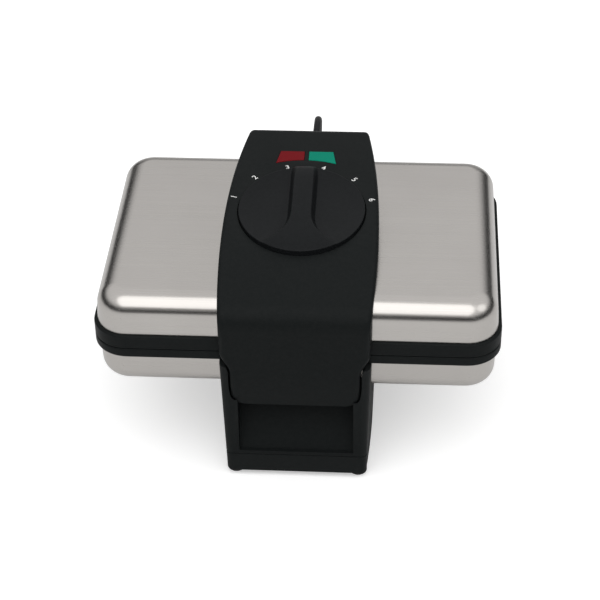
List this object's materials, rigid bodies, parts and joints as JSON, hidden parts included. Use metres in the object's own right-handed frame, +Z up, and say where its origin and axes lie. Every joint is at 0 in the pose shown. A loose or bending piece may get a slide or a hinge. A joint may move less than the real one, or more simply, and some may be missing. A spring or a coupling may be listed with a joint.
{
  "type": "belgian waffle maker",
  "caption": "Countertop waffle maker: two steel pans on a black stand, hinged at the rear under a black console with a dial, lamps and a front tongue to lift the lid.",
  "frame": {"origin": "middle of the footprint of the appliance without its cord, on the surface that its feet stand on", "axes": "+X to the right as the user faces the dial, +Y to the hinge at the back, +Z up"},
  "size_m": [0.3, 0.3598, 0.1855],
  "materials": {
    "steel": "satin",
    "black_plastic": "fine matte grain",
    "knob_plastic": "satin",
    "nonstick": "dark non-stick coating",
    "element": "dull",
    "aluminium": "bright sheet",
    "rubber": "matte",
    "red_lens": "clear tinted",
    "green_lens": "clear tinted",
    "lamp_glass": "clear",
    "phenolic": "matte",
    "ceramic": "glazed",
    "zinc": "zinc plated",
    "cord": "matte"
  },
  "bodies": {
    "base": {"stand_shell": "black_plastic", "base_tray": "black_plastic", "foot_front_left": "rubber", "foot_front_right": "rubber", "foot_rear_left": "rubber", "foot_rear_right": "rubber", "base_screw_1": "zinc", "base_screw_2": "zinc", "base_screw_3": "zinc", "base_screw_4": "zinc", "lower_pan": "steel", "lower_ring": "black_plastic", "lower_waffle_plate": "nonstick", "lower_heating_element": "element", "lower_reflector": "aluminium", "stand_screw_front": "zinc", "stand_screw_rear": "zinc", "terminal_block": "ceramic", "hinge_pin": "zinc", "strain_relief": "rubber", "power_cord": "cord", "cord_coil": "cord", "cord_tie": "rubber", "plug_body": "rubber", "plug_pin_left": "zinc", "plug_pin_right": "zinc"},
    "lid": {"upper_pan": "steel", "upper_ring": "black_plastic", "upper_waffle_plate": "nonstick", "upper_heating_element": "element", "upper_reflector": "aluminium", "reflector_screw_front": "zinc", "reflector_screw_rear": "zinc", "console_cover": "black_plastic", "handle_back": "black_plastic", "handle_screw_left": "zinc", "handle_screw_right": "zinc", "hinge_bracket": "zinc", "hinge_screw_left": "zinc", "hinge_screw_right": "zinc", "thermostat_body": "ceramic", "thermostat_bracket": "zinc", "red_lens": "red_lens", "green_lens": "green_lens", "lamp_holder": "phenolic", "red_lamp": "lamp_glass", "green_lamp": "lamp_glass", "thermal_fuse": "ceramic", "fuse_clip": "zinc"},
    "knob": {"control_knob": "knob_plastic", "thermostat_shaft": "zinc", "knob_clip": "zinc"}
  },
  "joints": [
    {"name": "lid_hinge", "type": "hinge", "parent": "base", "child": "lid", "pos_m": [0, 0.1085, 0.139], "axis": [-1, 0, 0], "range_deg": [0, 105]},
    {"name": "knob_turn", "type": "hinge", "parent": "lid", "child": "knob", "pos_m": [0, -0.0115, 0.17368], "axis": [0, -0.1177, 0.993], "range_deg": [-75, 75]}
  ]
}
